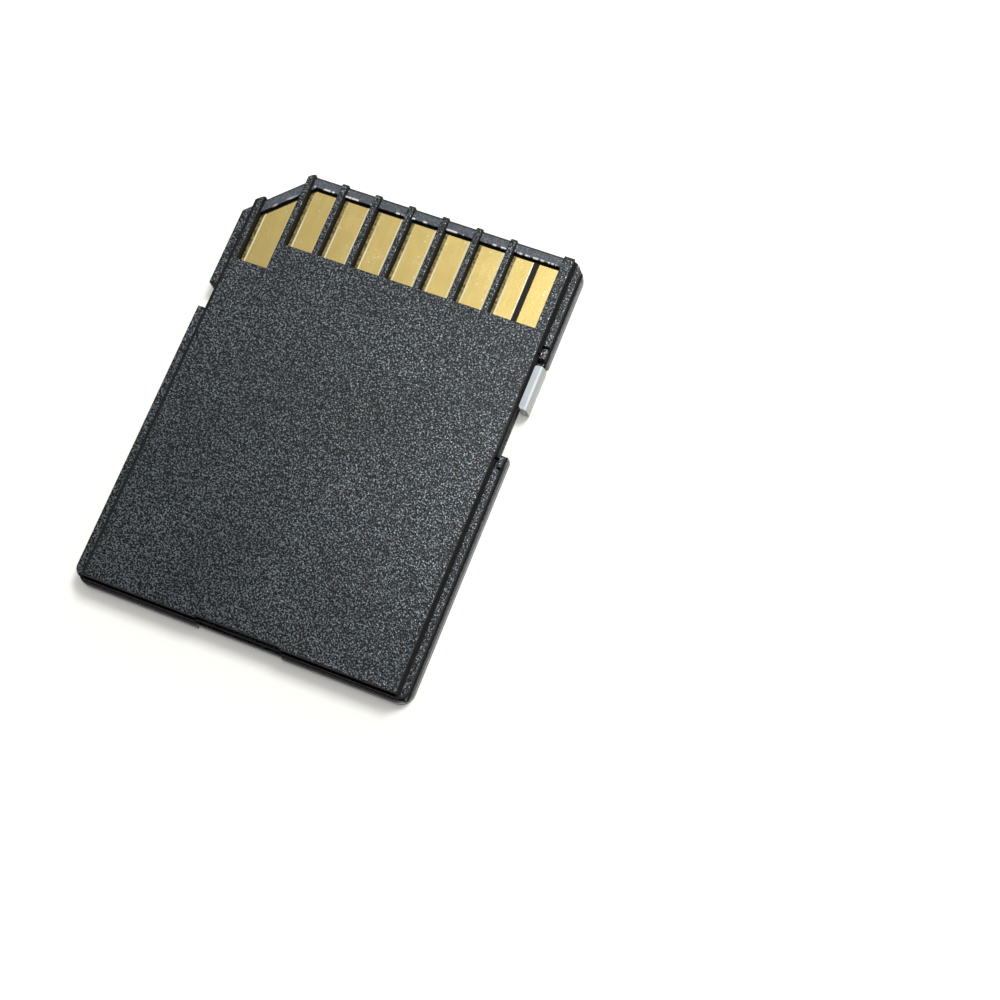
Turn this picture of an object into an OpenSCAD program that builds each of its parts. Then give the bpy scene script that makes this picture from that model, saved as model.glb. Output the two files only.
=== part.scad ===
// Full-size flash memory card with a sliding write-protect tab.
// It lies on its label face with the gold contacts up. X runs across the card,
// towards the tab, and lengths along Y are counted from the rear edge.

/* [Card] */
// Width across both side rails
card_w = 24; // [23.5:0.1:26]
// Length from the rear edge to the leading edge
card_l = 32; // [31.5:0.1:36]
// Thickness at the raised middle
card_t = 2.1; // [2:0.05:2.4]
// Height of the two side rails above the label face
rail_h = 1.4; // [1.3:0.05:1.55]
// Height of the plane where the two shells meet
parting_h = 0.7; // [0.65:0.05:0.8]
// Leg of the cut at the leading left corner
corner_cut = 4; // [3.5:0.1:4.2]
// Radius of the other three corners
corner_r = 1; // [0.5:0.1:1.1]

/* [Raised middle] */
// Width of the left rail, outside the raised middle
left_rail_w = 0.8; // [0.7:0.05:0.9]
// Width of the right rail, outside the raised middle
right_rail_w = 0.85; // [0.7:0.05:0.9]
// Set-back of the raised middle from the rear edge
rear_step = 0.42; // [0.35:0.05:0.8]
// Label-side rim left showing along the right edge
right_rim = 0.25; // [0.1:0.05:0.3]
// Label-side rim left showing along the rear edge
rear_rim = 0.24; // [0.1:0.02:0.3]
// Wall over the hollow behind the contacts
roof_wall = 0.35; // [0.25:0.05:0.4]

/* [Contact end] */
// Height of the gold faces above the label face
contact_h = 1.4; // [1.35:0.05:1.45]
// Width of the ribs between the contacts
rib_w = 0.4; // [0.3:0.05:0.5]
// Width of the rib left of contact 9
left_rib_w = 0.52; // [0.4:0.02:0.6]
// Width of the rib right of contact 8
right_rib_w = 0.68; // [0.5:0.02:0.8]
// Radius of the rib tips at the leading edge
rib_tip_r = 0.35; // [0.2:0.05:0.5]
// Height of the lip in front of the contacts
lip_h = 1.6; // [1.5:0.05:1.8]
// Width of the lip in front of the contacts
lip_w = 0.8; // [0.7:0.05:0.9]
// Bevel on the outer edge of the lip
lip_bevel = 0.18; // [0.05:0.01:0.25]
// Distance from the leading edge to the rear wall of the windows
window_l = 5.65; // [5:0.05:6.5]
// The same for the window of contact 9, which is set back
window_9_l = 7.7; // [7:0.05:8.5]

/* [Contacts] */
// Thickness of a contact plate
contact_t = 0.08; // [0.05:0.01:0.1]
// Clearance between a contact and the ribs beside it
contact_gap = 0.05; // [0.03:0.01:0.1]
// Distance of the contact tips from the leading edge
contact_inset = 0.95; // [0.85:0.01:1.1]
// Width of contact 9, the one beside the cut
contact_9_w = 2.18; // [2:0.02:2.4]
// Width of contact 7
contact_7_w = 1.51; // [1.3:0.01:1.7]
// Width of contact 8, the narrow one beside the right rib
contact_8_w = 1.5; // [1.2:0.05:1.7]
// Bare strip between contacts 7 and 8
contact_web_w = 0.36; // [0.3:0.02:0.5]

/* [Circuit board] */
// Thickness of the board
board_t = 0.3; // [0.25:0.05:0.35]
// Clearance between the board and the shell around it
board_gap = 0.05; // [0.03:0.01:0.08]
// Wall between the board and the leading edge
nose_wall = 0.7; // [0.6:0.05:0.75]
// Wall between the board and the left edge
left_wall = 1.2; // [1.15:0.05:1.25]
// Wall between the board and the right edge
right_wall = 1.3; // [1.25:0.05:1.35]
// Wall between the hollow and the rear edge
rear_wall = 1.7; // [1.6:0.05:2]
// Distance of the board from the rear edge
board_rear = 3.8; // [3.5:0.1:4.2]
// Set-back of the board's right edge beside the slider
board_relief = 0.55; // [0.5:0.05:0.8]

/* [Label side] */
// Floor of the label-side shell
label_wall = 0.25; // [0.2:0.01:0.27]
// Set-back of the label outline from the sides
label_side_inset = 1.4; // [1:0.1:3]
// Set-back of the label outline from the rear edge
label_rear_inset = 1.9; // [1.7:0.1:4]
// Set-back of the label outline from the leading edge
label_front_inset = 3.8; // [3:0.1:6]
// Radius of the label outline's corners
label_r = 1.3; // [0.8:0.1:2]
// Width of the groove around the label
label_groove_w = 0.12; // [0.1:0.01:0.2]
// Depth of the groove around the label
label_groove_d = 0.08; // [0.05:0.01:0.1]
// Length of the pull groove near the rear edge
pull_groove_l = 15.8; // [10:0.2:18]
// Width of the pull groove
pull_groove_w = 0.6; // [0.4:0.05:0.7]
// Depth of the pull groove
pull_groove_d = 0.15; // [0.1:0.01:0.2]
// Length of the shallow finger step in the rear edge
finger_step_l = 6.1; // [5:0.1:10]
// Depth of the shallow finger step
finger_step_d = 0.12; // [0.05:0.01:0.15]

/* [Side notches] */
// Distance of the small left notch from the leading edge
left_notch_from_front = 9.7; // [9.5:0.1:11]
// Length of the small left notch
left_notch_l = 1.85; // [1.5:0.05:2]
// Depth of the small left notch
left_notch_w = 0.8; // [0.5:0.05:0.8]
// Distance of the slider notch from the leading edge
slider_notch_from_front = 7.3; // [7.3:0.05:8]
// Length of the slider notch in the contact-side shell
slider_notch_l = 7.25; // [7.1:0.05:7.4]
// Depth of the slider notch
slider_notch_w = 0.75; // [0.7:0.01:0.8]
// Overhang of the label-side shell at each end of the slider notch
notch_overhang = 0.25; // [0.05:0.05:0.3]
// Radius of the outer corners of the slider notch
notch_r = 0.25; // [0.1:0.05:0.3]

/* [End stops] */
// Length of the stop block at each end of the slider notch
stop_l = 0.75; // [0.6:0.05:0.9]
// Width of the stop blocks
stop_w = 0.3; // [0.2:0.05:0.4]
// Width of the groove around the stop blocks
stop_groove_w = 0.17; // [0.1:0.01:0.2]
// Depth of the groove around the stop blocks
stop_groove_d = 0.4; // [0.2:0.05:0.5]

/* [Write-protect slider] */
// Length of the slider's tab
tab_l = 3.25; // [3:0.05:3.5]
// Distance of the tab from the leading end of its notch, as it rests
tab_rest_gap = 0.5; // [0.45:0.05:0.6]
// Height of the tab's underside above the label face
tab_lift = 0.12; // [0.05:0.01:0.2]
// Fall of the tab's outer edge below its top
tab_slope_h = 0.45; // [0.2:0.05:0.6]
// Run of the tab's outer edge
tab_slope_w = 0.2; // [0.1:0.05:0.3]
// Radius of the tab's corners, seen from above
tab_r = 0.22; // [0.1:0.02:0.3]
// Clearance between the slider and the shells
slide_gap = 0.05; // [0.03:0.01:0.08]
// Wall that the slider grips
grip_wall = 0.35; // [0.3:0.05:0.4]
// Width of the head that holds the slider in
head_w = 0.42; // [0.35:0.01:0.45]
// Length by which the head passes each end of the tab
head_overlap = 0.15; // [0.05:0.05:0.2]
// Height of the chamber for the head above the parting plane
chamber_h = 0.45; // [0.3:0.05:0.5]

/* [Electronics] */
// Clearance between the chips and the label-side shell
chip_clear = 0.07; // [0.03:0.01:0.1]
// Length of the memory chip's body, across the card
memory_w = 15.4; // [14:0.1:15.6]
// Width of the memory chip's body, along the card
memory_l = 12; // [10:0.1:12.2]
// Gap between the memory chip and the controller
chip_spacing = 1.3; // [1:0.1:1.6]
// Number of leads on each side of the memory chip
lead_count = 24; // [12:1:24]
// Centre to centre distance of the leads
lead_pitch = 0.5; // [0.4:0.05:0.5]
// Width of a lead
lead_w = 0.2; // [0.1:0.02:0.24]
// Thickness of a lead
lead_t = 0.12; // [0.08:0.01:0.15]
// Reach of the leads beyond the body
lead_reach = 0.8; // [0.6:0.05:0.9]
// Side of the square controller chip
controller_w = 6; // [5:0.1:6.4]
// Thickness of the controller chip
controller_t = 0.6; // [0.4:0.05:0.65]
// Distance of the controller's middle from the leading edge
controller_from_front = 9.4; // [9:0.1:9.7]
// Length of the capacitors and resistors
passive_l = 1; // [0.6:0.1:1.1]
// Width of the capacitors and resistors
passive_w = 0.5; // [0.3:0.05:0.6]
// Height of the capacitors
capacitor_t = 0.5; // [0.3:0.05:0.6]
// Height of the resistors
resistor_t = 0.35; // [0.2:0.05:0.4]
// Spacing of the capacitors and resistors
passive_pitch = 1.5; // [1.3:0.1:1.6]

/* [Supports] */
// Width of the ribs that back the board
support_w = 0.6; // [0.4:0.05:0.8]
// Spacing of the ribs that back the board
support_pitch = 5; // [4:0.1:6]
// Diameter of the posts that press on the board
post_d = 0.9; // [0.6:0.05:1]
// Distance of the posts from the sides of the hollow
post_inset = 0.95; // [0.7:0.05:1.05]

/* [Hidden] */
$fn = 48;
cut = 0.01;
left = -card_w / 2;
right = card_w / 2;

field_left = left + left_rail_w;
field_right = right - right_rail_w;
window_rear = card_l - window_l;
window_9_rear = card_l - window_9_l;

board_top = contact_h - contact_t;
board_bottom = board_top - board_t;
hollow_left = left + left_wall;
hollow_right = right - right_wall;
hollow_front = card_l - nose_wall;

window_9_left = field_left + left_rib_w;
window_9_right = window_9_left + contact_9_w + 2 * contact_gap;
window_7_right = field_right - right_rib_w;
window_7_left = window_7_right - contact_8_w - contact_web_w - contact_7_w - 2 * contact_gap;

// Contacts 1 to 6 share the space between the windows of contacts 9 and 7
equal_contacts = 6;
contact_pitch = (window_7_left - window_9_right - rib_w) / equal_contacts;
ribs_x = [for (i = [0:equal_contacts]) window_9_right + rib_w / 2 + i * contact_pitch];

notch_front = card_l - slider_notch_from_front;
notch_rear = notch_front - slider_notch_l;
notch_wall = right - slider_notch_w;
left_notch_front = card_l - left_notch_from_front;

tab_front = notch_front - tab_rest_gap;
tab_left = notch_wall + slide_gap;
tongue_bottom = label_wall + slide_gap;
tongue_top = parting_h - slide_gap;
head_right = notch_wall - grip_wall - slide_gap;
head_left = head_right - head_w;
chamber_right = notch_wall - grip_wall;
chamber_front = notch_front;
chamber_rear = notch_rear;

memory_t = board_bottom - label_wall - chip_clear;
controller_y = card_l - controller_from_front;
memory_y = controller_y - controller_w / 2 - chip_spacing - memory_l / 2;
controller_x = ribs_x[2] - rib_w;
passives_x = ribs_x[4];

// Puts what is drawn from the rear edge into the card's frame, centred on it
module from_rear_edge() {
    translate([0, -card_l / 2, 0])
        children();
}

// A slab of a flat shape between two heights
module slab(bottom, top) {
    translate([0, 0, bottom])
        linear_extrude(top - bottom)
            children();
}

// A rectangle between two corners
module box_2d(x0, y0, x1, y1) {
    translate([x0, y0])
        square([x1 - x0, y1 - y0]);
}

// A rectangle between two corners, with rounded corners
module rounded_2d(x0, y0, x1, y1, r) {
    box_2d(x0 + r, y0, x1 - r, y1);
    box_2d(x0, y0 + r, x1, y1 - r);
    for (x = [x0 + r, x1 - r], y = [y0 + r, y1 - r])
        translate([x, y])
            circle(r);
}

// Everything beyond the leading left cut, moved in by a distance
module beyond_cut_2d(inset) {
    rise = card_l - corner_cut + card_w / 2 - inset * sqrt(2);
    polygon([[-card_w, rise - card_w], [card_w, rise + card_w], [-card_w, rise + card_w]]);
}

// Outline of the label-side shell, which is the full card
module card_2d() {
    difference() {
        rounded_2d(left, 0, right, card_l, corner_r);
        beyond_cut_2d(0);
        finger_step_2d(0);
    }
}

// Outline of the contact-side shell, which leaves a rim at the right and rear
module contact_side_2d() {
    difference() {
        rounded_2d(left, rear_rim, right - right_rim, card_l, corner_r - right_rim);
        beyond_cut_2d(0);
        finger_step_2d(rear_rim);
    }
}

// Shallow step in the rear edge, cut from a shell that starts at an offset
module finger_step_2d(offset) {
    box_2d(-finger_step_l / 2, offset - 1, finger_step_l / 2, offset + finger_step_d);
}

// The hollow that the two shells close around the board
module hollow_2d(gap) {
    difference() {
        box_2d(hollow_left + gap, rear_wall + gap, hollow_right - gap, hollow_front - gap);
        beyond_cut_2d(nose_wall + gap);
    }
}

module left_notch_2d() {
    box_2d(left - 1, left_notch_front - left_notch_l, left + left_notch_w, left_notch_front);
}

// Slider notch with rounded outer corners, shorter by the overhang at each end
module slider_notch_2d(overhang) {
    rear = notch_rear + overhang;
    front = notch_front - overhang;
    mouth = right - notch_r;
    difference() {
        box_2d(notch_wall, rear - notch_r, right + 1, front + notch_r);
        for (edge = [[rear, -1], [front, 1]]) {
            translate([mouth, edge[0] + edge[1] * notch_r])
                circle(notch_r);
            box_2d(notch_wall - 1, min(edge[0], edge[0] + 2 * edge[1] * notch_r),
                   mouth, max(edge[0], edge[0] + 2 * edge[1] * notch_r));
        }
    }
}

// One rib on the contact end, from its rear end to a rounded tip
module contact_rib(x0, x1, rear, tip) {
    run = tip - rear;
    height = card_t - board_top;
    translate([x0, rear, board_top])
        rotate([90, 0, 90])
            linear_extrude(x1 - x0) {
                square([run - rib_tip_r, height]);
                square([run, height - rib_tip_r]);
                translate([run - rib_tip_r, height - rib_tip_r])
                    circle(rib_tip_r);
            }
}

// Leading edge of the card at a place across it, which the cut shortens
function edge_at(x) = min(card_l, x - left + card_l - corner_cut);

module contact_ribs() {
    intersection() {
        union() {
            contact_rib(field_left, window_9_left, window_9_rear, edge_at(window_9_left));
            for (x = ribs_x)
                contact_rib(x - rib_w / 2, x + rib_w / 2, window_9_rear, edge_at(x + rib_w / 2));
            contact_rib(window_7_right, field_right, window_9_rear, card_l);
        }
        slab(0, card_t) contact_side_2d();
    }
}

// Wedge taken off the lip's outer edge, along the front and along the cut
module lip_edge_bevels() {
    side = lip_bevel * sqrt(2);
    translate([0, card_l, lip_h])
        rotate([45, 0, 0])
            cube([2 * card_w, side, side], center = true);
    translate([left + corner_cut / 2, card_l - corner_cut / 2, lip_h])
        rotate([0, 0, 45])
            rotate([45, 0, 0])
                cube([2 * card_w, side, side], center = true);
}

// Level floor of the contact end, between the rails, with its lip at the front
module contact_end() {
    difference() {
        slab(rail_h - cut, lip_h)
            intersection() {
                box_2d(field_left, window_9_rear - cut, field_right, card_l);
                contact_side_2d();
            }
        lip_edge_bevels();
    }
}

// Raised middle behind the windows, longer to the right of contact 9
module raised_middle() {
    slab(rail_h - cut, card_t)
        difference() {
            union() {
                box_2d(field_left, rear_step, field_right, window_9_rear);
                box_2d(window_9_right, rear_step, field_right, window_rear);
            }
            finger_step_2d(rear_step);
        }
}

// Openings over the contacts: 9, then 1 to 6, then 7 and 8 together
module windows_2d() {
    difference() {
        union() {
            box_2d(window_9_left, window_9_rear, window_9_right, card_l - lip_w);
            for (i = [0:equal_contacts - 1])
                box_2d(ribs_x[i] + rib_w / 2, window_rear, ribs_x[i + 1] - rib_w / 2, card_l - lip_w);
            box_2d(window_7_left, window_rear, window_7_right, card_l - lip_w);
        }
        beyond_cut_2d(lip_w);
    }
}

// Hollow above the board, with ribs left standing that back it
module roof_hollow() {
    slab(board_top - cut, card_t - roof_wall)
        difference() {
            box_2d(hollow_left + 0.5, rear_wall + 0.5, head_left - 0.5, window_9_rear - 0.6);
            for (i = [-1:1])
                box_2d(i * support_pitch - support_w / 2, 0, i * support_pitch + support_w / 2, card_l);
        }
}

// Groove around one stop block, drawn for the front end of the notch
module stop_groove_2d() {
    block_left = right - right_rim - stop_w;
    groove_left = block_left - stop_groove_w;
    box_2d(groove_left, stop_l, right + 1, stop_l + stop_groove_w);
    box_2d(groove_left, stop_groove_w, block_left, stop_l + cut);
    box_2d(field_right, stop_groove_w, block_left, 2 * stop_groove_w);
}

module stop_grooves() {
    slab(rail_h - stop_groove_d, rail_h + cut) {
        translate([0, notch_front])
            stop_groove_2d();
        translate([0, notch_rear])
            mirror([0, 1])
                stop_groove_2d();
    }
}

module contact_side_shell() {
    color([0.16, 0.17, 0.18])
        from_rear_edge()
            difference() {
                union() {
                    slab(parting_h, rail_h) contact_side_2d();
                    contact_end();
                    raised_middle();
                    contact_ribs();
                }
                slab(board_top - cut, card_t + cut) windows_2d();
                slab(parting_h - cut, board_top) hollow_2d(0);
                roof_hollow();
                slab(parting_h - cut, parting_h + chamber_h)
                    box_2d(head_left - slide_gap, chamber_rear, chamber_right, chamber_front);
                slab(0, card_t) left_notch_2d();
                slab(0, card_t) slider_notch_2d(0);
                stop_grooves();
            }
}

// Posts that rise from the label-side floor to the board
module board_posts() {
    rear = board_rear + board_gap + post_inset;
    front = hollow_front - corner_cut;
    for (x = [hollow_left + post_inset, hollow_right - board_relief - post_inset], y = [rear, front])
        translate([x, y, label_wall - cut])
            cylinder(d = post_d, h = board_bottom - label_wall + cut);
}

// Room for the slider's head and tongue at the level of the label-side walls
module slider_room_2d() {
    box_2d(head_left - slide_gap, chamber_rear, chamber_right, chamber_front);
    box_2d(chamber_right - cut, notch_rear + notch_overhang, right,
           notch_front - notch_overhang);
}

module label_groove_2d() {
    x = right - label_side_inset;
    rear = label_rear_inset;
    front = card_l - label_front_inset;
    w = label_groove_w;
    difference() {
        rounded_2d(-x, rear, x, front, label_r);
        rounded_2d(-x + w, rear + w, x - w, front - w, label_r - w);
    }
}

module pull_groove_2d() {
    middle = label_rear_inset / 2 + pull_groove_w / 3;
    rounded_2d(-pull_groove_l / 2, middle - pull_groove_w / 2, pull_groove_l / 2,
               middle + pull_groove_w / 2, pull_groove_w / 2 - cut);
}

module label_side_shell() {
    color([0.17, 0.18, 0.19])
        from_rear_edge()
            union() {
                difference() {
                    slab(0, parting_h) card_2d();
                    slab(label_wall, parting_h + cut) hollow_2d(0);
                    slab(label_wall, parting_h + cut) slider_room_2d();
                    slab(-cut, parting_h + cut) left_notch_2d();
                    slab(-cut, parting_h + cut) slider_notch_2d(notch_overhang);
                    slab(-cut, label_groove_d) label_groove_2d();
                    slab(-cut, pull_groove_d) pull_groove_2d();
                }
                board_posts();
            }
}

// Section of the tab, looking along the card, with its sloping outer edge
module tab_section_2d() {
    slope_foot = rail_h - tab_slope_h;
    polygon([
        [tab_left, tab_lift],
        [tab_left, rail_h],
        [right - tab_slope_w, rail_h],
        [right, slope_foot],
        [right, tab_lift],
    ]);
}

module write_protect_slider() {
    tab_rear = tab_front - tab_l;
    color([0.92, 0.93, 0.9])
        from_rear_edge()
            union() {
                intersection() {
                    translate([0, tab_front, 0])
                        rotate([90, 0, 0])
                            linear_extrude(tab_l)
                                tab_section_2d();
                    slab(0, card_t)
                        rounded_2d(tab_left, tab_rear, right + tab_r, tab_front, tab_r);
                }
                slab(tongue_bottom, tongue_top)
                    box_2d(head_right - cut, tab_rear + tab_r, tab_left + tab_r, tab_front - tab_r);
                slab(tongue_bottom, parting_h + chamber_h - slide_gap)
                    box_2d(head_left, tab_rear - head_overlap, head_right, tab_front + head_overlap);
            }
}

// Outline of the board, set back at the right beside the slider
module board_2d() {
    difference() {
        hollow_2d(board_gap);
        box_2d(left, 0, right, board_rear);
        box_2d(hollow_right - board_relief, 0, right, chamber_front + board_relief);
    }
}

module circuit_board() {
    color([0.06, 0.09, 0.08])
        from_rear_edge()
            slab(board_bottom, board_top) board_2d();
}

// Left and right edges and rear end of each contact, numbered 1 to 9
function contact_left(n) =
    n == 9 ? window_9_left + contact_gap :
    n == 8 ? window_7_right - contact_gap - contact_8_w :
    ribs_x[n - 1] + rib_w / 2 + contact_gap;
function contact_right(n) =
    n == 9 ? window_9_right - contact_gap :
    n == 8 ? window_7_right - contact_gap :
    n == 7 ? window_7_left + contact_gap + contact_7_w :
    ribs_x[n] - rib_w / 2 - contact_gap;
function contact_rear(n) = (n == 9 ? window_9_rear : window_rear) + contact_gap;

module contact_pad(n) {
    color([0.83, 0.68, 0.36])
        from_rear_edge()
            slab(board_top, contact_h)
                difference() {
                    box_2d(contact_left(n), contact_rear(n), contact_right(n), card_l - contact_inset);
                    beyond_cut_2d(contact_inset);
                }
}

// A block that hangs from the underside of the board
module under_board(x, y, width, length, height) {
    translate([x - width / 2, y - length / 2, board_bottom - height])
        cube([width, length, height]);
}

module memory_chip() {
    color([0.1, 0.1, 0.11])
        from_rear_edge()
            under_board(0, memory_y, memory_w, memory_l, memory_t);
}

// One lead: a foot on the board, a leg and a shoulder into the chip's side
module lead() {
    drop = memory_t / 2;
    polygon([
        [lead_reach, 0],
        [lead_reach, -lead_t],
        [lead_reach / 2 + lead_t / 2, -lead_t],
        [lead_reach / 2, -drop - lead_t / 2],
        [0, -drop - lead_t / 2],
        [0, -drop + lead_t / 2],
        [lead_reach / 2 - lead_t, -drop + lead_t / 2],
        [lead_reach / 2 - lead_t / 2, 0],
    ]);
}

module memory_chip_leads() {
    color([0.75, 0.76, 0.78])
        from_rear_edge()
            for (side = [0, 1], i = [0:lead_count - 1])
                mirror([side, 0, 0])
                    translate([memory_w / 2, memory_y + (i - (lead_count - 1) / 2) * lead_pitch
                               + lead_w / 2, board_bottom])
                        rotate([90, 0, 0])
                            linear_extrude(lead_w)
                                lead();
}

module controller_chip() {
    color([0.12, 0.12, 0.13])
        from_rear_edge()
            under_board(controller_x, controller_y, controller_w, controller_w, controller_t);
}

module capacitor(n) {
    color([0.6, 0.48, 0.34])
        from_rear_edge()
            under_board(passives_x + (n - 1) * passive_pitch, controller_y - passive_pitch,
                        passive_w, passive_l, capacitor_t);
}

module resistor(n) {
    color([0.14, 0.14, 0.15])
        from_rear_edge()
            under_board(passives_x + (n - 1) * passive_pitch, controller_y + passive_pitch,
                        passive_w, passive_l, resistor_t);
}

contact_side_shell();
label_side_shell();
write_protect_slider();
circuit_board();
contact_pad(1);  // contact_pad_1
contact_pad(2);  // contact_pad_2
contact_pad(3);  // contact_pad_3
contact_pad(4);  // contact_pad_4
contact_pad(5);  // contact_pad_5
contact_pad(6);  // contact_pad_6
contact_pad(7);  // contact_pad_7
contact_pad(8);  // contact_pad_8
contact_pad(9);  // contact_pad_9
memory_chip();
memory_chip_leads();
controller_chip();
capacitor(1);  // capacitor_1
capacitor(2);  // capacitor_2
capacitor(3);  // capacitor_3
capacitor(4);  // capacitor_4
resistor(1);  // resistor_1
resistor(2);  // resistor_2
resistor(3);  // resistor_3
resistor(4);  // resistor_4
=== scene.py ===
import math

import bpy
from mathutils import Matrix, Vector


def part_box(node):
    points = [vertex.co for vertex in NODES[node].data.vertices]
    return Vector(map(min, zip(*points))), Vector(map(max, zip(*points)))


# Full-size flash memory card on white paper, contact side up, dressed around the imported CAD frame.
# The card lies on z = 0 with its contacts towards +Y and its write-protect slider at +X.

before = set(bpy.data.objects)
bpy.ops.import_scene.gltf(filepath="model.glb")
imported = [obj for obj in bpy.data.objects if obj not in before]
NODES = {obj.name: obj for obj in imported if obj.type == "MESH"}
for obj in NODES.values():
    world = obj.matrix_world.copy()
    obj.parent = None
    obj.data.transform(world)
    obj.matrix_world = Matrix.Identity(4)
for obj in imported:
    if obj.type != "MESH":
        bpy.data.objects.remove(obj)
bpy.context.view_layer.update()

MM = 0.001
WHITE = (1.0, 1.0, 1.0, 1.0)

# Grain of the moulded plastic
GRAIN_SCALE = 8000
FINE_SCALE = 12500
GRAIN_SHARE = 0.7
FINE_SHARE = 0.3
GRAIN_BUMP = 0.35
SPECK_FROM = 0.40           # relief at which a speck starts to show, and at which it is full
SPECK_TO = 0.68
SPECK_POWER = 2.7
SPECK_COLOUR = (0.49, 0.545, 0.585)
SPECK_METAL = 0.9
SHELL_DARK = (10, 11, 12)
SHELL_BASE = (19, 20, 22)

# Faces and walls of the moulded plastic. A face is what looks up or down: its look starts at the
# first vertical part of the normal and is full at the second
FACE_FROM = 0.90
FACE_TO = 0.99
FACE_ROUGH = 0.36
ROUGH_FALL = 0.3            # how much smoother the top of the grain is
MATT_ROUGH = 0.9
EDGE_RADIUS = 0.1           # mm over which the look turns from face to wall
EDGE_SAMPLES = 6
SPECULAR = 0.5
PALE_SMOOTH = 0.5          # share of the specks that the paler colour takes away
MASK_FADE = 0.02            # mm on each side of a mask's edge over which it fades

# Painted glints: pale dashes along the inner edge of the lip, in mm
FRONT = 16.0                # front edge of the card
CUT_SUM = 8.0               # on the outer line of the cut corner, FRONT - y + x is minus this
GLINT_DEPTH = 0.75          # from the lip's outer edge to its inner one
GLINT_FULL = 0.04           # distance from the inner edge up to which a dash is full
GLINT_GONE = 0.1            # and at which it is gone
GLINT_HEIGHT = (1.5, 1.65)
GLINT_FADE = 0.05           # step of the noise over which a dash begins
GLINT_COLOUR = (250, 251, 253)

# Painted highlight lines and a painted reflection on the contacts, in mm
LINE_WIDTH = 0.11           # painted highlight line along a side
LEFT_INSET = 0.24           # from a contact's left side to its line
RIGHT_INSET = 0.17
REFLECTION_GAP = 0.02              # between the strip of painted reflection at the left side and the line
REFLECTION_OVERLAP = 0.1           # by which the strip's mask passes the side
LEFT_LINE_FROM = 11.5            # the left line fades towards the front between these places on Y
LEFT_LINE_TO = 14.5
LEFT_LINE_KEPT = 0.25            # share of it that is left at the front
LINE_MIX = 0.85             # share of the highlight's pale colour
LINE_PLAIN = 0.8            # how much of the metal's look the line and the strip lose
REFLECTION_PLAIN = 0.7
FAINT_LINE = 0.3
FAINT_LINE_CONTACTS = (1, 8, 9)
NO_INSET_CONTACT = 7
UNPAINTED_LEFT_CONTACT = 8

# Pits in the gold: cells of a pattern, picked by their random grey value
PIT_SCALE = 4200
PIT_PICK = 0.94
PIT_SIZE = 0.28
PIT_MIX = 0.7

# Painted shade on the slider's outer slope and a painted highlight on its ridge, in mm
SHADED_SLOPE_SPAN = (11.82, 11.86)
RIDGE_HIGHLIGHT = {"X": (11.7, 11.83), "Z": (1.3, 1.5)}

# Tinned caps of a small part start this share of its length from the middle
CAP_FROM = 0.3

# Softened edges
JOIN_DISTANCE = 0.001       # mm
FLAT_ANGLE = 0.5            # degrees up to which faces count as one
EDGE_ANGLE = 35.0           # degrees from which an edge is softened

# Floor, in metres
FLOOR_HALF = 0.6
FLOOR_DROP = 0.005 * MM     # keeps the floor off the card's flat underside
FLOOR_GLOW = 0.31           # glow near the card; it grows to 1 between the two distances
GLOW_NEAR = 0.04
GLOW_FAR = 0.3

# Sky: its strength grows with the Y part of the direction
SKY_FROM = 0.1
SKY_TO = 0.4
SKY_LOW = 0.02
SKY_HIGH = 0.6

# Lamps: direction from the card, edge length in metres, radiance
LAMP_DISTANCE = 0.5
LAMPS = {
    "key": ((0.24, 0.32, 1.0), 0.35, 1.55),
    "side": ((0.26, 0.6, 1.0), 0.14, 22.0),
}

# Camera, fitted to the outlines of the two cards in the photo
CAMERA_AT = Vector((33.905, -29.291, 112.004)) * MM
CAMERA_AIM = Vector((12.464, -1.26, 1.0)) * MM
CAMERA_ROLL = math.radians(22.2165)
CAMERA_LENS = 64.318
CAMERA_SENSOR = 36.0
CAMERA_CLIP = (0.005, 10.0)


def rgba(colour):
    return tuple(colour) + (1.0,)


def srgb(r, g, b):
    """Linear colour of 8-bit display values."""
    def linear(c):
        c /= 255.0
        return c / 12.92 if c <= 0.04045 else ((c + 0.055) / 1.055) ** 2.4
    return (linear(r), linear(g), linear(b))


def shaded(colour, factor):
    return [factor * c for c in colour]


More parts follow.
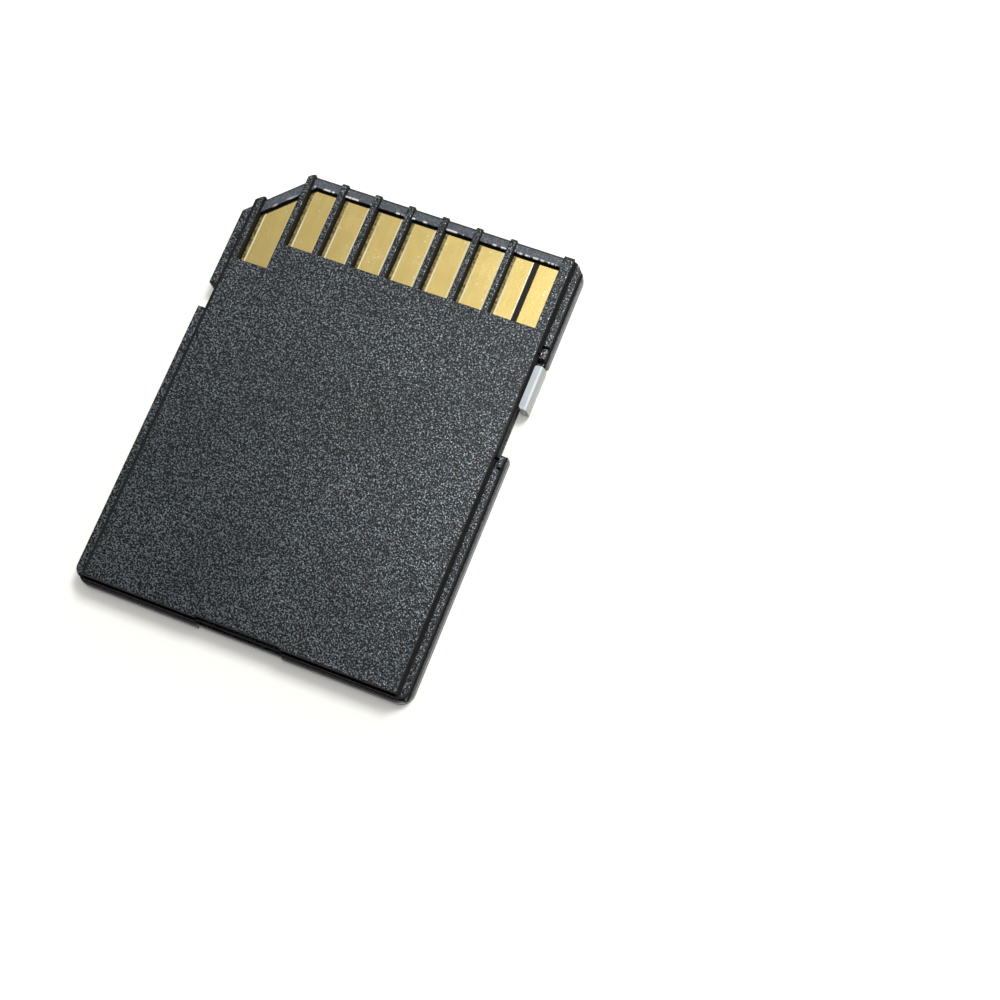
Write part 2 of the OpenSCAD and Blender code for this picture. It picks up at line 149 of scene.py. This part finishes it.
class Graph:
    """A node tree under construction, with one method for each kind of node."""

    def __init__(self, tree):
        self.tree = tree
        self.nodes = tree.nodes
        self.coords = self.nodes.new("ShaderNodeTexCoord")

    def link(self, a, b):
        self.tree.links.new(a, b)

    def give(self, socket, value):
        """Sets an input, or links it where the value is a socket."""
        if isinstance(value, bpy.types.NodeSocket):
            self.link(value, socket)
        else:
            socket.default_value = value

    def fill(self, node, inputs):
        """Sets or links a node's inputs by name."""
        for key, value in inputs.items():
            self.give(node.inputs[key.replace("_", " ")], value)
        return node

    def add(self, kind, **inputs):
        return self.fill(self.nodes.new(kind), inputs)

    def noise(self, scale, detail=2.0, rough=0.5, vector=None):
        node = self.add("ShaderNodeTexNoise", Scale=scale, Detail=detail, Roughness=rough,
                        Vector=vector or self.coords.outputs["Object"])
        return node.outputs["Fac"]

    def cells(self, scale):
        """Random grey value of each Voronoi cell, and the distance to its middle."""
        node = self.add("ShaderNodeTexVoronoi", Scale=scale, Vector=self.coords.outputs["Object"])
        split = self.add("ShaderNodeSeparateColor", Color=node.outputs["Color"])
        return split.outputs[0], node.outputs["Distance"]

    def stretched(self, scale):
        node = self.add("ShaderNodeMapping", Scale=scale, Vector=self.coords.outputs["Object"])
        return node.outputs["Vector"]

    def math(self, operation, a, b=0.0):
        node = self.nodes.new("ShaderNodeMath")
        node.operation = operation
        self.give(node.inputs[0], a)
        self.give(node.inputs[1], b)
        return node.outputs[0]

    def times(self, a, b):
        return self.math("MULTIPLY", a, b)

    def linear(self, value, slope, start):
        """The value times slope, plus start."""
        return self.math("ADD", self.times(value, slope), start)

    def outside(self, mask):
        return self.math("SUBTRACT", 1.0, mask)

    def either(self, masks):
        total = masks[0]
        for mask in masks[1:]:
            total = self.math("MAXIMUM", total, mask)
        return total

    def rise(self, value, start, end, low=0.0, high=1.0, kind="LINEAR"):
        """Goes from low to high while the value goes from start to end."""
        node = self.add("ShaderNodeMapRange", Value=value, From_Min=start, From_Max=end,
                        To_Min=low, To_Max=high)
        node.interpolation_type = kind
        return node.outputs["Result"]

    def ramp(self, value, stops):
        """Colour ramp through stops, each a place and a colour."""
        node = self.add("ShaderNodeValToRGB", Fac=value)
        elements = node.color_ramp.elements
        while len(elements) < len(stops):
            elements.new(0.5)
        for element, (place, colour) in zip(elements, stops):
            element.position = place
            element.color = rgba(colour)
        return node.outputs["Color"]

    def mix(self, factor, a, b, blend="MIX"):
        """Colour a, or b where the factor is 1."""
        node = self.nodes.new("ShaderNodeMix")
        node.data_type = "RGBA"
        node.blend_type = blend
        self.give(node.inputs[0], factor)
        for socket, colour in ((node.inputs[6], a), (node.inputs[7], b)):
            linked = isinstance(colour, bpy.types.NodeSocket)
            self.give(socket, colour if linked else rgba(colour))
        return node.outputs[2]

    def part(self, vector, axis):
        node = self.add("ShaderNodeSeparateXYZ", Vector=vector)
        return node.outputs["XYZ".index(axis)]

    def place(self, axis):
        """A coordinate of the shaded point, in metres."""
        return self.part(self.coords.outputs["Object"], axis)

    def span(self, axis, start, end, low=0.0, high=1.0):
        """Rises smoothly from low to high between two places in mm along an axis."""
        return self.rise(self.place(axis), start * MM, end * MM, low, high, kind="SMOOTHSTEP")

    def within(self, ranges):
        """1 inside a box, given as a range in mm along some axes, and 0 outside it."""
        inside = 1.0
        for axis, (low, high) in ranges.items():
            above = self.span(axis, low - MASK_FADE, low + MASK_FADE)
            below = self.span(axis, high - MASK_FADE, high + MASK_FADE, 1.0, 0.0)
            inside = self.times(self.times(inside, above), below)
        return inside

    def bump(self, height, strength, depth, below=None):
        """Normal over a relief with a depth in mm, on top of the normal below, if any."""
        node = self.add("ShaderNodeBump", Strength=strength, Distance=depth * MM, Height=height)
        if below:
            self.link(below, node.inputs["Normal"])
        return node.outputs["Normal"]


class Shader(Graph):
    """A material around the Principled shader."""

    def __init__(self, name):
        self.material = bpy.data.materials.new(name)
        self.material.use_nodes = True
        super().__init__(self.material.node_tree)

    def finish(self, **inputs):
        self.fill(self.nodes["Principled BSDF"], inputs)
        return self.material


def painted_lip_glints(s):
    """Mask of the painted glints along the lip's inner edge, straight and along the cut corner."""
    to_front = s.math("SUBTRACT", FRONT * MM, s.place("Y"))
    sum_to_cut = s.math("ADD", to_front, s.math("ADD", s.place("X"), CUT_SUM * MM))
    to_cut = s.times(sum_to_cut, math.sqrt(0.5))
    masks = []
    for depth, stretch, threshold, across in (
        (to_front, (2600, 150, 150), 0.5, (-7.9, 10.4)),
        (to_cut, (420, 420, 150), 0.47, (-10.2, -8.5)),
    ):
        off = s.math("ABSOLUTE", s.math("SUBTRACT", depth, GLINT_DEPTH * MM))
        line = s.rise(off, GLINT_FULL * MM, GLINT_GONE * MM, 1.0, 0.0)
        glint_breaks = s.noise(1.0, detail=2.0, rough=0.6, vector=s.stretched(stretch))
        dashes = s.rise(glint_breaks, threshold, threshold + GLINT_FADE)
        room = s.within({"X": across, "Z": GLINT_HEIGHT})
        masks.append(s.times(s.times(line, dashes), room))
    return s.either(masks)


def speckled_plastic(name, wall_rough, dull_and_shaded, pale_and_reflection=(), lip_glints=False):
    """Moulded black plastic: a spark-eroded face with sparkling specks, and smooth darker walls.

    wall_rough is the least roughness of the walls. Inside the boxes of dull, each a range in mm
    along some axes, the plastic is plain, rough and speckless and renders black: an untextured margin
    with painted shade at the feet of walls and on the rear ledge. Inside those of satin, each with
    a colour and a strength, it is paler; on the rims that pale colour is a painted reflection of
    the paper. At a strength below 1 only the level faces are paler, and their grain still shows.
    With burrs, painted glints, pale dashes, follow the inner edge of the lip.
    """
    s = Shader(name)
    rounded = s.add("ShaderNodeBevel", Radius=EDGE_RADIUS * MM)
    rounded.samples = EDGE_SAMPLES
    normal = rounded.outputs["Normal"]
    face = s.rise(s.math("ABSOLUTE", s.part(normal, "Z")), FACE_FROM, FACE_TO)
    # Rough, speckless bands that render black: an untextured margin with painted shade at the feet of
    # walls
    matt_shade = s.either([s.within(ranges) for ranges in dull_and_shaded])
    face = s.times(face, s.outside(matt_shade))

    grain = s.times(s.noise(GRAIN_SCALE, detail=1.0), GRAIN_SHARE)
    relief = s.math("ADD", grain, s.times(s.noise(FINE_SCALE, detail=0.0), FINE_SHARE))
    speck = s.math("POWER", s.rise(relief, SPECK_FROM, SPECK_TO), SPECK_POWER)
    speck = s.times(speck, face)

    tint = s.ramp(s.noise(6200, detail=1.0), [
        (0.36, (0.78, 0.98, 1.10)),
        (0.5, (0.96, 1.0, 1.04)),
        (0.64, (1.10, 1.0, 0.86)),
    ])
    broad = s.ramp(s.noise(150, detail=3.0), [
        (0.3, (0.85, 0.85, 0.85)),
        (0.7, (1.15, 1.15, 1.15)),
    ])
    bright = s.mix(1.0, tint, SPECK_COLOUR, "MULTIPLY")
    bright = s.mix(1.0, bright, broad, "MULTIPLY")
    body = s.ramp(s.noise(1500), [(0.3, srgb(*SHELL_DARK)), (0.7, srgb(*SHELL_BASE))])
    colour = s.mix(speck, body, bright)

    wall = s.linear(s.noise(900), slope=0.16, start=wall_rough)
    wall = s.math("MAXIMUM", wall, s.times(matt_shade, MATT_ROUGH))
    level = s.times(face, s.linear(relief, slope=-ROUGH_FALL, start=FACE_ROUGH))
    rough = s.math("ADD", level, s.times(s.outside(face), wall))

    # Paler colour; on the rims it is a painted reflection of the paper
    for ranges, shade, strength in pale_and_reflection:
        paled_mask = s.times(s.within(ranges), strength)
        if strength < 1.0:
            paled_mask = s.times(paled_mask, face)
        speck = s.times(speck, s.outside(s.times(paled_mask, PALE_SMOOTH)))
        colour = s.mix(paled_mask, colour, srgb(*shade))
    # Painted glints: pale dashes along the lip's inner edge
    if lip_glints:
        glint_mask = painted_lip_glints(s)
        colour = s.mix(glint_mask, colour, srgb(*GLINT_COLOUR))
        speck = s.times(speck, s.outside(glint_mask))
    return s.finish(
        Base_Color=colour,
        Roughness=rough,
        IOR=1.5,
        Specular_IOR_Level=SPECULAR,
        Metallic=s.times(speck, SPECK_METAL),
        Normal=s.bump(s.times(relief, face), GRAIN_BUMP, depth=0.05, below=normal),
    )


def gold_plate(pad, line, right_inset, left_painted_light):
    """Hard gold over nickel: satin, with faint wipe marks and small pale pits.

    A painted highlight line runs near each side, the right one as strong as line and right_inset
    away from the side, in mm. The last argument, from 0 to 1, sets the strength of the left line
    and of a painted reflection of the rib wall, olive and dark, on the strip beyond it. At 0
    the left side is plain.
    """
    s = Shader(f"gold_{pad}")
    low, high = (corner.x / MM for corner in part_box(pad))
    wipes = s.noise(1.0, detail=4.0, rough=0.7, vector=s.stretched((3200, 240, 800)))
    base = s.ramp(wipes, [
        (0.3, srgb(239, 211, 132)),
        (0.5, srgb(242, 215, 137)),
        (0.72, srgb(245, 220, 144)),
    ])
    pick, distance = s.cells(PIT_SCALE)
    pits = s.times(s.math("GREATER_THAN", pick, PIT_PICK), s.math("LESS_THAN", distance, PIT_SIZE))
    base = s.mix(s.times(pits, PIT_MIX), base, srgb(255, 250, 225))

    # Painted highlight lines near the two sides
    inner = high - right_inset
    right = s.within({"X": (inner - LINE_WIDTH, inner)})
    left = s.within({"X": (low + LEFT_INSET, low + LEFT_INSET + LINE_WIDTH)})
    left = s.times(left, s.span("Y", LEFT_LINE_FROM, LEFT_LINE_TO, left_painted_light, LEFT_LINE_KEPT * left_painted_light))
    shine = s.math("MAXIMUM", s.times(right, line), left)
    # Painted reflection of the rib wall: an olive, partly dark strip at the left side
    strip = s.within({"X": (low - REFLECTION_OVERLAP, low + LEFT_INSET - REFLECTION_GAP)})
    painted_reflection = s.times(strip, left_painted_light)
    olive = s.ramp(s.noise(5200, detail=3.0, rough=0.7), [
        (0.38, srgb(84, 74, 40)),
        (0.62, srgb(186, 168, 104)),
    ])
    base = s.mix(painted_reflection, base, olive)
    base = s.mix(s.times(shine, LINE_MIX), base, srgb(255, 249, 214))
    plain = s.math("MAXIMUM", s.times(shine, LINE_PLAIN), s.times(painted_reflection, REFLECTION_PLAIN))
    relief = s.linear(wipes, slope=0.2, start=s.noise(5200))
    return s.finish(
        Base_Color=base,
        Metallic=s.outside(plain),
        Roughness=s.linear(s.noise(700, detail=4.0, rough=0.65), slope=0.12, start=0.2),
        Normal=s.bump(relief, 0.12, depth=0.02),
    )


def solder_mask(name):
    """Dark board lacquer over a faint weave."""
    s = Shader(name)
    weave = s.noise(3200)
    return s.finish(
        Base_Color=s.ramp(weave, [(0.35, srgb(13, 12, 10)), (0.65, srgb(24, 22, 18))]),
        Specular_IOR_Level=0.25,
        Roughness=s.linear(weave, slope=0.2, start=0.4),
        Normal=s.bump(s.noise(1800), 0.12, depth=0.02),
    )


def milky_plastic(name):
    """Natural translucent nylon of the slider, faintly clouded and scuffed."""
    s = Shader(name)
    base = s.ramp(s.noise(600, detail=3.0), [
        (0.3, srgb(202, 211, 216)),
        (0.55, srgb(212, 221, 226)),
        (0.75, srgb(222, 230, 233)),
    ])
    # Painted shade: the outer slope is darker grey
    base = s.mix(s.span("X", *SHADED_SLOPE_SPAN), base, srgb(192, 196, 196))
    # Painted highlight along the ridge
    base = s.mix(s.within(RIDGE_HIGHLIGHT), base, srgb(248, 255, 255))
    return s.finish(
        Base_Color=base,
        Roughness=s.linear(s.noise(2500, detail=3.0), slope=0.25, start=0.28),
        Subsurface_Weight=0.35,
        Subsurface_Scale=0.3 * MM,
        IOR=1.53,
        Normal=s.bump(s.noise(4000), 0.18, depth=0.02),
    )


def chip_epoxy(name, shade):
    s = Shader(name)
    grain = s.noise(4200, detail=3.0, rough=0.6)
    return s.finish(
        Base_Color=s.ramp(grain, [(0.3, shaded(shade, 0.7)), (0.7, shaded(shade, 1.35))]),
        Roughness=s.linear(grain, slope=0.25, start=0.5),
        Normal=s.bump(grain, 0.3, depth=0.02),
    )


def tinned_lead(name):
    s = Shader(name)
    grain = s.noise(5000, detail=3.0)
    return s.finish(
        Base_Color=s.ramp(grain, [(0.3, srgb(168, 170, 174)), (0.7, srgb(206, 207, 210))]),
        Metallic=1.0,
        Roughness=s.linear(grain, slope=0.3, start=0.25),
        Normal=s.bump(grain, 0.2, depth=0.01),
    )


def small_part(name, node, body, ends):
    """Ceramic chip part lying along Y, with tinned caps at the two ends of the node's box."""
    low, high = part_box(node)
    s = Shader(name)
    off = s.math("ABSOLUTE", s.math("SUBTRACT", s.place("Y"), 0.5 * (high.y + low.y)))
    cap = s.math("GREATER_THAN", off, CAP_FROM * (high.y - low.y))
    grain = s.noise(4000)
    skin = s.ramp(grain, [(0.3, shaded(body, 0.85)), (0.7, shaded(body, 1.12))])
    return s.finish(
        Base_Color=s.mix(cap, skin, ends),
        Metallic=cap,
        Roughness=s.linear(grain, slope=0.3, start=0.3),
        Normal=s.bump(grain, 0.15, depth=0.01),
    )


def dress(node, material):
    """Gives a node's faces one material, whatever slots it has."""
    slots = NODES[node].data.materials
    for index in range(len(slots)):
        slots[index] = material
    if not slots:
        slots.append(material)


def soften(node, width, segments=2, top_only=False):
    """Rounds a node's edges by a width in mm, as moulding and plating do.

    The weld and the decimation first join the imported triangles into whole faces. With top_only
    just the edges of the top face are rounded.
    """
    obj = NODES[node]
    weld = obj.modifiers.new("joined_faces", "WELD")
    weld.merge_threshold = JOIN_DISTANCE * MM
    flat = obj.modifiers.new("flat_faces", "DECIMATE")
    flat.decimate_type = "DISSOLVE"
    flat.angle_limit = math.radians(FLAT_ANGLE)
    bevel = obj.modifiers.new("edge_softening", "BEVEL")
    bevel.width = width * MM
    bevel.segments = segments
    bevel.harden_normals = True
    if top_only:
        vertices = obj.data.vertices
        top = max(v.co.z for v in vertices) - JOIN_DISTANCE * MM
        group = obj.vertex_groups.new(name="top_face")
        group.add([v.index for v in vertices if v.co.z > top], 1.0, "REPLACE")
        bevel.limit_method = "VGROUP"
        bevel.vertex_group = "top_face"
    else:
        bevel.limit_method = "ANGLE"
        bevel.angle_limit = math.radians(EDGE_ANGLE)


dress("contact_side_shell", speckled_plastic("shell_contact_side", wall_rough=0.72, lip_glints=True, pale_and_reflection=(
    ({"Z": (1.5, 1.7)}, (112, 118, 127), 0.5),  # top of the lip
), dull_and_shaded=(
    {"X": (11.05, 11.34), "Z": (1.2, 2.05)},    # right wall of the raised middle, and painted shade at its foot
    {"X": (11.66, 11.9), "Z": (0.6, 1.36)},     # outer wall of the right rail
    {"Y": (-16.5, -15.6), "Z": (0.6, 1.5)},     # ledge behind the raised middle, in painted shade
    {"X": (-11.3, -11.0), "Z": (1.5, 2.2)},     # left edge of the raised middle
)))
dress("label_side_shell", speckled_plastic("shell_label_side", wall_rough=0.24, dull_and_shaded=(
    {"X": (11.7, 11.84), "Z": (0.5, 1.5)},      # inner part of the rim, beside the right rail, in painted shade at the foot of its wall
), pale_and_reflection=(
    ({"X": (11.86, 12.1), "Z": (0.4, 0.8)}, (92, 92, 95), 1.0),         # outer part of that rim, grey as a painted reflection of the paper
    ({"Y": (-16.1, -15.78), "Z": (0.3, 0.8)}, (172, 171, 176), 1.0),    # rim at the rear, pale grey as a painted reflection of the paper
)))
dress("circuit_board", solder_mask("board_mask"))
dress("write_protect_slider", milky_plastic("slider_milky"))
for number in range(1, 10):
    pad = f"contact_pad_{number}"
    dress(pad, gold_plate(
        pad,
        line=FAINT_LINE if number in FAINT_LINE_CONTACTS else 1.0,
        right_inset=0.0 if number == NO_INSET_CONTACT else RIGHT_INSET,
        left_painted_light=0.0 if number == UNPAINTED_LEFT_CONTACT else 1.0,
    ))
    soften(pad, width=0.055, segments=3, top_only=True)
soften("contact_side_shell", width=0.035)
soften("label_side_shell", width=0.05)
soften("write_protect_slider", width=0.06, segments=3)

CHIP = chip_epoxy("chip_epoxy", srgb(38, 38, 40))
TIN = srgb(196, 197, 200)
CAPACITOR = small_part("capacitor_ceramic", "capacitor_1", srgb(150, 122, 88), TIN)
RESISTOR = small_part("resistor_film", "resistor_1", srgb(30, 30, 32), TIN)
dress("memory_chip", CHIP)
dress("memory_chip_leads", tinned_lead("tinned_lead"))
dress("controller_chip", CHIP)
for number in range(1, 5):
    dress(f"capacitor_{number}", CAPACITOR)
    dress(f"resistor_{number}", RESISTOR)

# White paper. It takes the card's shadow, and its glow makes it pure white far from the card
floor_mesh = bpy.data.meshes.new("floor")
corners = ((-1, -1), (1, -1), (1, 1), (-1, 1))
floor_mesh.from_pydata(
    [(x * FLOOR_HALF, y * FLOOR_HALF, -FLOOR_DROP) for x, y in corners], [], [(0, 1, 2, 3)])
floor = bpy.data.objects.new("floor", floor_mesh)
bpy.context.scene.collection.objects.link(floor)
paper = Shader("floor_paper")
away = paper.nodes.new("ShaderNodeVectorMath")
away.operation = "LENGTH"
paper.link(paper.coords.outputs["Object"], away.inputs[0])
glow = paper.rise(away.outputs["Value"], GLOW_NEAR, GLOW_FAR, FLOOR_GLOW, 1.0)
rays = paper.add("ShaderNodeLightPath").outputs
seen = paper.either([rays[kind] for kind in ("Is Camera Ray", "Is Glossy Ray", "Is Transmission Ray")])
fibres = paper.noise(260, detail=4.0)
floor_mesh.materials.append(paper.finish(
    Base_Color=paper.ramp(fibres, [(0.3, (0.945, 0.935, 0.885)), (0.7, (0.96, 0.95, 0.9))]),
    Roughness=0.9,
    Specular_IOR_Level=0.05,
    Emission_Color=(1.0, 0.99, 0.94, 1.0),
    Emission_Strength=paper.times(seen, glow),
))

# Sky: white to the camera, and a soft gradient to everything else
world = bpy.data.worlds.new("studio")
bpy.context.scene.world = world
world.use_nodes = True
sky = Graph(world.node_tree)
northward = sky.part(sky.coords.outputs["Generated"], "Y")
strength = sky.rise(northward, SKY_FROM, SKY_TO, SKY_LOW, SKY_HIGH)
gradient = sky.fill(sky.nodes["Background"], {"Color": WHITE, "Strength": strength})
backdrop = sky.add("ShaderNodeBackground", Color=WHITE)
either_sky = sky.nodes.new("ShaderNodeMixShader")
camera_ray = sky.add("ShaderNodeLightPath").outputs["Is Camera Ray"]
for socket, source in zip(either_sky.inputs, (camera_ray, gradient.outputs[0], backdrop.outputs[0])):
    sky.link(source, socket)
sky.link(either_sky.outputs[0], sky.nodes["World Output"].inputs["Surface"])

# Square soft lamps that face the card
for name, (towards, size, radiance) in LAMPS.items():
    lamp = bpy.data.lights.new(name, "AREA")
    lamp.shape = "SQUARE"
    lamp.size = size
    lamp.energy = radiance * math.pi * size * size
    softbox = bpy.data.objects.new(name, lamp)
    softbox.location = Vector(towards).normalized() * LAMP_DISTANCE
    softbox.rotation_euler = softbox.location.to_track_quat("Z", "Y").to_euler()
    bpy.context.scene.collection.objects.link(softbox)

# Camera, turned by its roll about the line of sight
back = (CAMERA_AT - CAMERA_AIM).normalized()
side = Vector((0, 1, 0)).cross(back).normalized()
right = math.cos(CAMERA_ROLL) * side + math.sin(CAMERA_ROLL) * back.cross(side)
upward = back.cross(right)
camera_data = bpy.data.cameras.new("camera")
camera_data.lens = CAMERA_LENS
camera_data.sensor_width = CAMERA_SENSOR
camera_data.clip_start, camera_data.clip_end = CAMERA_CLIP
camera = bpy.data.objects.new("camera", camera_data)
camera.matrix_world = Matrix((
    (right.x, upward.x, back.x, CAMERA_AT.x),
    (right.y, upward.y, back.y, CAMERA_AT.y),
    (right.z, upward.z, back.z, CAMERA_AT.z),
    (0, 0, 0, 1),
))
bpy.context.scene.collection.objects.link(camera)
bpy.context.scene.camera = camera
bpy.context.scene.view_settings.view_transform = "Standard"
